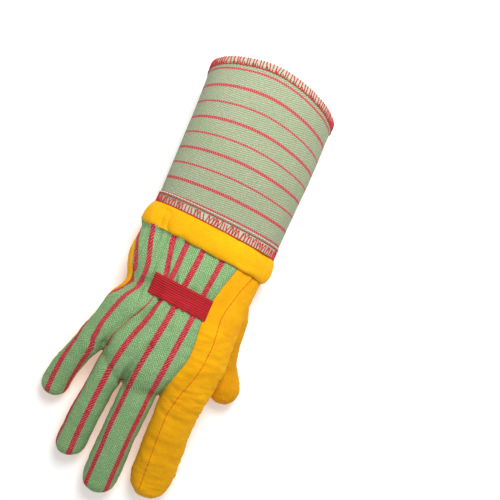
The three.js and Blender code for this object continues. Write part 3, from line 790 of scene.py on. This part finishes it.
def seam_distance(mesh):
    """Millimetres from each point to the nearest seam between the two cloths."""
    sides = [set() for _ in mesh.vertices]
    for f in mesh.polygons:
        for v in f.vertices:
            sides[v].add(f.material_index)
    co = coords(mesh)
    seam = [i for i, s in enumerate(sides) if len(s) == 2]
    tree = KDTree(len(seam))
    for i in seam:
        tree.insert(co[i], i)
    tree.balance()
    return np.array([tree.find(p)[2] for p in co])


hand = through_points(hand_cage(), 3)
co = coords(hand)
no = vertex_normals(hand)
cloth = corner_to_vertex(hand, "cloth")
y = co[:, 1]
top = smooth(-0.1, 0.5, no[:, 2])
low = smooth(-0.1, 0.5, -no[:, 2])
seam = seam_distance(hand)
tape_y = WRIST - TAPE_ALONG * PALM_LENGTH

move = np.zeros(len(co))
# Gathers fan out from the tape and from the band
near_tape = np.exp(-((y - tape_y) / 17.0) ** 2)
near_tape *= smooth(-36, -24, co[:, 0]) * (1 - smooth(14, 24, co[:, 0]))
near_band = np.exp(-((y - WRIST) / 9.0) ** 2)
phase = fractal(co * np.array((1, 0.25, 1)), 14.0, 2, 1.0) * 2.2
gather = np.sin(co[:, 0] * TAU / 8.5 + phase * 2.5)
move += top * (near_tape * 1.25 + near_band * 0.5) * gather
ripple = fractal(co * np.array((1.0, 0.35, 1.0)), 9.0, 3, 2.0)
move += top * smooth(-75, -25, y) * ripple * 0.55
# Folds: from the tape to the ring finger, over the side, and up from the next fork
move -= top * (groove(co, LONG_FOLD, 2.2) * 2.2 + groove(co, LONG_FOLD, 7.0) * 0.9)
move += top * groove(co, [(p[0] + 6.0, p[1]) for p in LONG_FOLD], 3.6) * 1.1
move -= top * groove(co, SIDE_FOLD, 2.4) * 1.2
move -= top * groove(co, FORK_FOLD, 2.6) * 2.8
# Cloth is never even
move += fractal(co, 22.0, 3, 3.0) * 0.75 * smooth(-16, -30, y)
move += fractal(co * np.array((0.7, 1.6, 1.0)), 7.0, 3, 4.0) * 0.22
# Soft crosswise wrinkles on the index finger and the palm
index = smooth(12, 20, co[:, 0]) * (1 - smooth(-70, -60, y))
move += index * fractal(co * np.array((0.35, 1.5, 0.6)), 7.0, 3, 5.0) * 0.8
move += low * fractal(co * np.array((0.5, 1.1, 1.0)), 12.0, 3, 6.0) * 0.8
# Under the band the cloth stands out to the band's inner face, where it is sewn
move += TUCK_RISE * smooth(WRIST, WRIST + 4, y)
# The sewn edges turn in
move -= 0.9 * np.exp(-(seam / 1.5) ** 2) * smooth(-12, -22, y)
lay(hand, co + no * move[:, None], CLOTH_REST)
hand_tree = tree_of(hand)

back = piece_from(hand, "striped_back_cloth", mat_drill, DRILL_WALL, 0)
palm = piece_from(hand, "fleece_palm_cloth", mat_fleece, FLEECE_WALL, 1)


# Thumb

def thumb_cage():
    cage = Cage()
    columns = 2 * COLUMNS + 2
    middles = [Vector((t["x"] * PALM_WIDTH, WRIST - t["along"] * PALM_LENGTH, t["mid"] * PALM_DEPTH))
               for t in THUMB]
    ends = len(middles) - 1
    tip_way = middles[ends] - middles[ends - 1]
    tip_way.z = 0
    tip_way.normalize()
    dome = THUMB_WIDTH / 2
    rings = []
    for i, t in enumerate(THUMB):
        way = middles[min(i + 1, ends)] - middles[max(i - 1, 0)]
        way.z = 0
        rings.append((middles[i], way.normalized(), t["width"], t["depth"]))
    for degrees in TIP_ANGLES:
        a = math.radians(degrees)
        rings.append((middles[ends] + tip_way * dome * math.sin(a), tip_way,
                      THUMB[-1]["width"] * math.cos(a), THUMB[-1]["depth"] * math.cos(a)))
    previous, gone, last = None, 0.0, None
    for middle, way, wide, deep in rings:
        side = Vector((-way.y, way.x, 0))
        points = []
        for i in range(columns):
            a = TAU * i / columns
            p = middle + side * (THUMB_WIDTH / 2 * wide * math.cos(a))
            p.z = max(p.z + THUMB_DEPTH / 2 * deep * math.sin(a), 0)
            points.append(p)
        if previous:
            gone += (middle - last).length
        ring = (cage.add(points), [(i * THUMB_CLOTH, gone) for i in range(columns + 1)],
                [(0, 0)] * (columns + 1))
        if previous:
            cage.strip(ring, previous)
        previous, last = ring, middle
    previous = previous[0]
    tip = cage.add([middles[ends] + tip_way * dome])
    for i in range(columns):
        n = (i + 1) % columns
        u0, u1 = i * THUMB_CLOTH, (i + 1) * THUMB_CLOTH
        cage.face((previous[i], previous[n], tip[0]),
                  [(u0, gone), (u1, gone), ((u0 + u1) / 2, gone + 2)])
    return cage


def inside_depth(tree, p):
    """How deep a point lies under a closed surface; negative outside it."""
    spot, normal, _, dist = tree.find_nearest(Vector(p))
    return dist if (Vector(p) - spot).dot(normal) < 0 else -dist


thumb_mesh = through_points(thumb_cage(), 3)
co = coords(thumb_mesh)
no = vertex_normals(thumb_mesh)
depth = np.array([inside_depth(hand_tree, p) for p in co])
move = fractal(co * np.array((0.7, 1.2, 1.0)), 11.0, 3, 7.0) * 0.75
move += fractal(co, 4.0, 2, 8.0) * 0.15
move -= 1.3 * np.exp(-((depth + 0.5) / 2.0) ** 2)
lay(thumb_mesh, co + no * move[:, None], CLOTH_REST)
bm = bmesh.new()
bm.from_mesh(thumb_mesh)
bm.verts.ensure_lookup_table()
buried = [f for f in bm.faces if all(depth[v.index] > 2.5 for v in f.verts)]
bmesh.ops.delete(bm, geom=buried, context="FACES")
bm.to_mesh(thumb_mesh)
bm.free()
thumb_tree = tree_of(thumb_mesh)
thumb = piece_from(thumb_mesh, "fleece_thumb_cloth", mat_thumb_shaded_fleece, FLEECE_WALL)


# Gauntlet and band

def mouth_y(angle, share):
    return (GAUNTLET_LENGTH - RIM_DIP * abs(math.cos(angle)) ** 1.4) * share


def stripe_row(p, share):
    """The cuff's stripe number: the stripes follow the mouth's edge, not the slanted join."""
    straight = share * GAUNTLET_LENGTH + CUFF_SLANT * p.x * 0.7 * max(1 - share, 0)
    return (straight - FIRST_CUFF_STRIPE) / CUFF_PITCH


def gauntlet_cage():
    cage = Cage()
    previous = None
    for share in (0.0, 0.02, 0.06, 0.16, 0.28, 0.40, 0.52, 0.64, 0.76, 0.88, 0.975, 1.0):
        points = []
        for i in range(CUFF_COLUMNS):
            a = TAU * i / CUFF_COLUMNS
            yy = mouth_y(a, share)
            points.append(slanted(oval_point(glove_oval(yy), a, yy)))
        lengths = row_lengths(points)
        closed = list(zip(points + points[:1], lengths))
        ring = (cage.add(points),
                [(value - lengths[CUFF_COLUMNS // 4], p.y) for p, value in closed],
                [(stripe_row(p, share), 0) for p, value in closed])
        if previous:
            cage.strip(previous, ring)
        previous = ring
    return cage


cuff = through_points(gauntlet_cage(), 3)
co = coords(cuff)
no = vertex_normals(cuff)
free = smooth(4, 30, co[:, 1])
move = fractal(co * np.array((1.0, 0.35, 1.0)), 38.0, 2, 9.0) * 1.1 * free
move += fractal(co, 13.0, 3, 10.0) * 0.22
lay(cuff, co + no * move[:, None], CUFF_REST)
cuff_tree = tree_of(cuff)
gauntlet = piece_from(cuff, "gauntlet_cloth", mat_starched, GAUNTLET_WALL)


def band_cage():
    inset = -GAUNTLET_WALL - 0.9
    profile = [
        (-BAND_HEIGHT - 0.2, 0.7), (-BAND_HEIGHT * 0.97, BAND_WALL * 0.8),
        (-BAND_HEIGHT * 0.84, BAND_BULGE),
        (-BAND_HEIGHT * 0.5, BAND_BULGE), (-BAND_HEIGHT * 0.2, BAND_BULGE * 0.66), (-1.6, 1.3),
        (-0.5, 0.1), (-0.3, inset + 0.6), (0.6, inset), (BAND_TUCK, inset),
        (BAND_TUCK, inset - BAND_WALL),
        (-0.4, inset - BAND_WALL), (-BAND_HEIGHT * 0.3, BAND_BULGE * 0.62 - BAND_WALL),
        (-BAND_HEIGHT * 0.5, BAND_BULGE - BAND_WALL), (-BAND_HEIGHT * 0.8, BAND_BULGE - BAND_WALL)]
    cage = Cage()
    rings, gone = [], 0.0
    for k, (yy, out) in enumerate(profile):
        points = [slanted(oval_point(glove_oval(yy), TAU * i / CUFF_COLUMNS, yy, out))
                  for i in range(CUFF_COLUMNS)]
        rings.append((cage.add(points), [(value, gone) for value in row_lengths(points)],
                      [(0, 0)] * (CUFF_COLUMNS + 1)))
        gone += math.dist(profile[k], profile[(k + 1) % len(profile)])
    # The last strip closes the roll, so its far edge goes on from the others
    ids, cloth, stripe = rings[0]
    rings.append((ids, [(value, gone) for value, _ in cloth], stripe))
    for a, b in zip(rings, rings[1:]):
        cage.strip(a, b)
    return cage


band_mesh = subdivided(band_cage().mesh(), 2)
co = coords(band_mesh)
no = vertex_normals(band_mesh)
around = np.arctan2(co[:, 2] - 27, co[:, 0])
outer = smooth(-BAND_HEIGHT - 1, -BAND_HEIGHT * 0.8, co[:, 1]) * (1 - smooth(-3.0, 0.0, co[:, 1]))
move = outer * (fractal(co * np.array((1.0, 0.5, 1.0)), 16.0, 3, 11.0) * 1.1)
pinch = [(2.52, 0.09, 1.7), (2.1, 0.12, 1.0), (0.62, 0.3, 0.6), (-1.2, 0.2, 0.8), (-2.2, 0.2, 0.8)]
for at, wide, deep in pinch:
    move -= outer * deep * np.exp(-((around - at) / wide) ** 2)
move += fractal(co, 5.0, 2, 12.0) * 0.12
co = co + no * move[:, None]
# The band's lower edge wanders a little over the hand
edge = 1 - smooth(-BAND_HEIGHT, -BAND_HEIGHT * 0.55, co[:, 1])
co[:, 1] += edge * fractal(co * np.array((1.0, 0.0, 1.0)), 20.0, 2, 13.0) * 1.6
lay(band_mesh, co, BAND_REST)
band = piece_from(band_mesh, "wrist_band_cloth", mat_band)


# Elastic tape

def height_at(tree, x, yy):
    return tree.ray_cast(Vector((x, yy, FAR)), Vector((0, 0, -1)))[0].z


def tape_cage():
    cage = Cage()
    mid_x, nx, ny = TAPE_ACROSS * PALM_WIDTH, 60, 20
    tops, unders = [], []
    for j in range(ny + 1):
        up = j / ny - 0.5
        over, under = [], []
        for i in range(nx + 1):
            x = mid_x + TAPE_LENGTH * (i / nx - 0.5)
            yy = tape_y + TAPE_SLOPE * (x - mid_x) + TAPE_HEIGHT * up
            heights = [height_at(hand_tree, x + aside, yy + along)
                       for aside in (-2.5, 0, 2.5) for along in (-2, 0, 2)]
            z = sum(heights) / len(heights) * 0.7 + max(heights) * 0.3 + 0.05
            rib = 0.16 * abs(math.sin(math.pi * j * TAPE_HEIGHT / ny / TAPE_RIB))
            end = min(i, nx - i) / nx * TAPE_LENGTH
            side = min(j, ny - j) / ny * TAPE_HEIGHT
            fall = math.exp(-end / 1.2) * 0.8 + math.exp(-side / 0.8) * 0.5
            over.append(Vector((x, yy, z + TAPE_THICKNESS - fall + rib)))
            under.append(Vector((x, yy, z - 0.5)))
        tops.append(cage.add(over))
        unders.append(cage.add(under))
    sx, sy = TAPE_LENGTH / nx, TAPE_HEIGHT / ny
    for j in range(ny):
        for i in range(nx):
            left, right, low, high = sx * i, sx * i + sx, sy * j, sy * j + sy
            box = [(left, low), (right, low), (right, high), (left, high)]
            for ids in ((tops[j][i], tops[j][i + 1], tops[j + 1][i + 1], tops[j + 1][i]),
                        (unders[j + 1][i], unders[j + 1][i + 1], unders[j][i + 1], unders[j][i])):
                cage.face(ids, box)
    for i in range(nx):
        for a, b, v in ((unders[0], tops[0], 0), (tops[ny], unders[ny], TAPE_HEIGHT)):
            cage.face((a[i], a[i + 1], b[i + 1], b[i]),
                      [(i * sx, v), (i * sx + sx, v), (i * sx + sx, v), (i * sx, v)])
    for j in range(ny):
        for a, b, i, u in ((tops, unders, 0, 0), (unders, tops, nx, TAPE_LENGTH)):
            cage.face((a[j][i], a[j + 1][i], b[j + 1][i], b[j][i]),
                      [(u, j * sy), (u, j * sy + sy), (u, j * sy + sy), (u, j * sy)])
    return cage


tape = piece_from(tape_cage().mesh(), "elastic_tape_cloth", mat_elastic)


# Sewing

class Thread:
    """Many short round threads in one mesh."""

    def __init__(self, radius, sides=6):
        self.cage, self.radius, self.sides = Cage(), radius, sides

    def run(self, points, radius=None):
        r = radius or self.radius
        points = [Vector(p) for p in points]
        rings, gone = [], 0.0
        for i, p in enumerate(points):
            way = (points[min(i + 1, len(points) - 1)] - points[max(i - 1, 0)]).normalized()
            side = way.cross(Vector((0, 0, 1)))
            if side.length < 0.1:
                side = way.cross(Vector((1, 0, 0)))
            side.normalize()
            lift = side.cross(way)
            turns = [TAU * k / self.sides for k in range(self.sides)]
            ring = [p + (side * math.cos(turn) + lift * math.sin(turn)) * r for turn in turns]
            for q in ring:
                q.z = max(q.z, THREAD_REST)
            if i:
                gone += (p - points[i - 1]).length
            rings.append((self.cage.add(ring), gone))
        for (a, ga), (b, gb) in zip(rings, rings[1:]):
            for k in range(self.sides):
                n = (k + 1) % self.sides
                self.cage.face((a[k], b[k], b[n], a[n]),
                               [(k / self.sides, ga), (k / self.sides, gb),
                                ((k + 1) / self.sides, gb), ((k + 1) / self.sides, ga)])
        first, last = rings[0][0], rings[-1][0]
        self.cage.face(list(first), [(0, 0)] * self.sides)
        self.cage.face(list(reversed(last)), [(0, 0)] * self.sides)

    def piece(self, name, material):
        return piece_from(self.cage.mesh(), name, material)


def on_cuff(angle, yy, lift):
    o = glove_oval(max(yy, 0))
    p = slanted(oval_point(o, angle, max(yy, 0)))
    p.y += min(yy, 0)
    spot, normal, _, _ = cuff_tree.find_nearest(p)
    flat = Vector((normal.x, 0, normal.z)).normalized()
    q = Vector((spot.x, p.y, spot.z)) + flat * lift
    q.z = max(q.z, STITCH_REST)
    return q


def arc_steps(y_of, pitch):
    """Pairs of angles round the cuff, evenly apart along its edge; the last ends at the first."""
    fine = [TAU * i / 720 for i in range(721)]
    points = [oval_point(glove_oval(max(y_of(a), 0)), a, y_of(a)) for a in fine]
    run = [0.0]
    for a, b in zip(points, points[1:]):
        run.append(run[-1] + (b - a).length)
    count = round(run[-1] / pitch)
    angles = [float(np.interp(run[-1] * i / count, run, fine)) for i in range(count)]
    return list(zip(angles, angles[1:] + [angles[0] + TAU]))


def rim(angle):
    return mouth_y(angle, 1.0)


rng = np.random.default_rng(7)
mouth = Thread(0.38)
for a, b in arc_steps(rim, 2.35):
    deep = 5.0 + rng.uniform(-0.3, 0.3)
    start, mid = lerp(a, b, rng.uniform(-0.2, 0.2)), lerp(a, b, rng.uniform(-0.3, 0.4))
    edge_y, foot_y = rim(start), rim(mid) - deep
    # From inside the mouth over its edge and down the face
    mouth.run([on_cuff(start, edge_y - 2.0, -GAUNTLET_WALL - 0.3),
               on_cuff(start, edge_y + 0.15, -GAUNTLET_WALL * 0.6),
               on_cuff(start, edge_y + 0.15, 0.05), on_cuff(start, edge_y - 0.6, 0.28),
               on_cuff(lerp(start, mid, 0.5), lerp(edge_y, foot_y, 0.5), 0.30),
               on_cuff(mid, foot_y, 0.2)])
    if rng.uniform() < 0.5:
        mouth.run([on_cuff(mid, foot_y, 0.2), on_cuff(lerp(mid, b, 0.5), foot_y + 0.2, 0.30),
                   on_cuff(lerp(mid, b, 0.8), lerp(foot_y, rim(b), 0.4), 0.28)], 0.3)
    half = lerp(a, b, 0.5)
    mouth.run([on_cuff(a, rim(a) - 5.0, 0.15), on_cuff(half, rim(half) - 5.6, 0.42),
               on_cuff(b, rim(b) - 5.0, 0.15)], 0.40)
mouth_thread = mouth.piece("mouth_overlock", mat_red)

join = Thread(0.40)
for a, b in arc_steps(lambda angle: 0.0, 2.3):
    deep = 5.0 + rng.uniform(-0.3, 0.3)
    start, mid = lerp(a, b, rng.uniform(-0.25, 0.25)), lerp(a, b, rng.uniform(-0.3, 0.6))
    join.run([on_cuff(start, -0.5, 0.15), on_cuff(start, 0.4, 0.32),
              on_cuff(lerp(start, mid, 0.5), deep * 0.5, 0.30), on_cuff(mid, deep, 0.2)])
    if rng.uniform() < 0.55:
        join.run([on_cuff(mid, deep, 0.2), on_cuff(lerp(mid, b, 0.4), deep, 0.30),
                  on_cuff(lerp(mid, b, 0.8), deep * 0.5, 0.30), on_cuff(b, 0.5, 0.2)], 0.3)
    join.run([on_cuff(a, -0.35, 0.42), on_cuff(lerp(a, b, 0.5), -0.5, 0.5), on_cuff(b, -0.35, 0.42)], 0.40)
for a, b in arc_steps(lambda angle: 6.3, 2.6):
    join.run([on_cuff(a, 6.2, 0.15), on_cuff(lerp(a, b, 0.5), 6.4, 0.50),
              on_cuff(lerp(a, b, 0.9), 6.3, 0.15)], 0.36)
join_thread = join.piece("join_overlock", mat_red)

white = Thread(0.40)
for a, b in arc_steps(lambda angle: 7.6, 2.6):
    white.run([on_cuff(a, 7.5, 0.0), on_cuff(lerp(a, b, 0.45), 7.7, 0.36),
               on_cuff(lerp(a, b, 0.94), 7.5, 0.0)])
white_thread = white.piece("join_chain_stitch", mat_white)

# Quilting lines: places in plan, from the wrist to the fingertips
TOP_LINES = [
    [(40.5, -19.5), (39.0, -23.5), (34.5, -36), (30.7, -52), (30.0, -59), (32.1, -76), (31.5, -91.5),
     (29.0, -104), (24.6, -118), (22.0, -132), (22.4, -147), (23.4, -161), (24.6, -176.5), (26.0, -196)]]
UNDER_LINES = [
    [(-4, -24), (-3, -60), (-2, -95), (-3, -125), (-3.5, -160), (-3.5, -204)],
    [(-27, -24), (-25, -60), (-25, -95), (-28, -125), (-33, -160), (-34.5, -186)],
    [(-40, -24), (-38, -55), (-44, -85), (-53, -112), (-60, -135), (-63, -152)],
    [(20, -24), (18, -60), (22, -90), (28, -120), (30, -150), (32, -195)]]
THUMB_LINE = [(34, -48), (37.5, -62.6), (41.5, -79), (46.5, -90.4), (51.2, -99), (54.8, -104.6),
              (58, -113)]


# One stitch: how far along it, and how high over the cloth
STITCH = ((0.01, -0.2), (0.12, 0.05), (0.5, 0.10), (0.86, 0.05), (0.97, -0.2))


def quilt(thread, line, sign, tree, stitch=3.6):
    path = [Vector((p[0], p[1], 0)) for p in line]
    run = [0.0]
    for a, b in zip(path, path[1:]):
        run.append(run[-1] + (b - a).length)

    def at(s, lift):
        x = float(np.interp(s, run, [p.x for p in path]))
        yy = float(np.interp(s, run, [p.y for p in path]))
        hit = tree.ray_cast(Vector((x, yy, FAR * sign)), Vector((0, 0, -sign)))
        if hit[0] is None:
            return None
        p = hit[0] + hit[1] * lift
        p.z = max(p.z, QUILT_REST)
        return p

    s = 0.0
    while s + stitch < run[-1]:
        points = [at(s + stitch * share, lift) for share, lift in STITCH]
        if all(p is not None for p in points) and (points[0] - points[-1]).length < stitch * 2:
            thread.run(points)
        s += stitch


quilting = Thread(0.21)
for line in TOP_LINES:
    quilt(quilting, line, 1, hand_tree)
for line in UNDER_LINES:
    quilt(quilting, line, -1, hand_tree)
quilt(quilting, THUMB_LINE, -1, thumb_tree)
quilting_thread = quilting.piece("quilting_stitches", mat_orange)


# Declarations

for piece in (back, palm, thumb, gauntlet, band, tape,
              mouth_thread, join_thread, white_thread, quilting_thread):
    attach(piece, "root")
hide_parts("striped_back")
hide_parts("fleece_palm", "index_wrap")
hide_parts("fleece_thumb")
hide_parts("gauntlet_cuff")
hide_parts("wrist_band")
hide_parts("elastic_tape")


# Stage

scene = bpy.context.scene
bpy.ops.mesh.primitive_plane_add(size=6)
floor = bpy.context.object
floor.name = "floor"
paper = Material("floor_paper", 0.95)
paper.fill(paper.shader, {"Emission Color": (255, 255, 255), "Emission Strength": 0.22})
floor.data.materials.append(paper.finish((250, 250, 250)))

world = bpy.data.worlds.new("studio")
scene.world = world
world.use_nodes = True
world.node_tree.nodes["Background"].inputs[0].default_value = (1, 1, 1, 1)
world.node_tree.nodes["Background"].inputs[1].default_value = 0.38

# The camera in millimetres: its place, its lens and the way that it is turned
CAMERA_PLACE, LENS, SENSOR = Vector((2.84, -2.57, 471.0)), 43.2, 36.0
RIGHT = Vector((0.91344232, 0.3934032, 0.10419716))
UP = Vector((-0.40104605, 0.91366587, 0.06615693))
FORWARD = Vector((0.06917504, 0.10221839, -0.99235388))


def area(name, place, size, power):
    """An area light placed by the picture's right, up and towards-camera directions."""
    light = bpy.data.lights.new(name, "AREA")
    light.size, light.energy = size, power
    obj = bpy.data.objects.new(name, light)
    obj.location = RIGHT * place[0] + UP * place[1] - FORWARD * place[2]
    obj.rotation_euler = (-obj.location).to_track_quat("-Z", "Y").to_euler()
    scene.collection.objects.link(obj)


area("key", (0.16, 0.26, 0.44), 0.20, 2.1)
area("fill", (0.4, 0.1, 1.0), 0.8, 2.0)

camera_data = bpy.data.cameras.new("camera")
camera_data.lens, camera_data.sensor_width = LENS, SENSOR
camera_data.clip_start = 0.01
camera = bpy.data.objects.new("camera", camera_data)
turn = Matrix((RIGHT, UP, -FORWARD)).transposed().to_4x4()
camera.matrix_world = Matrix.Translation(CAMERA_PLACE * MM) @ turn
scene.collection.objects.link(camera)
scene.camera = camera
scene.view_settings.view_transform = "Standard"
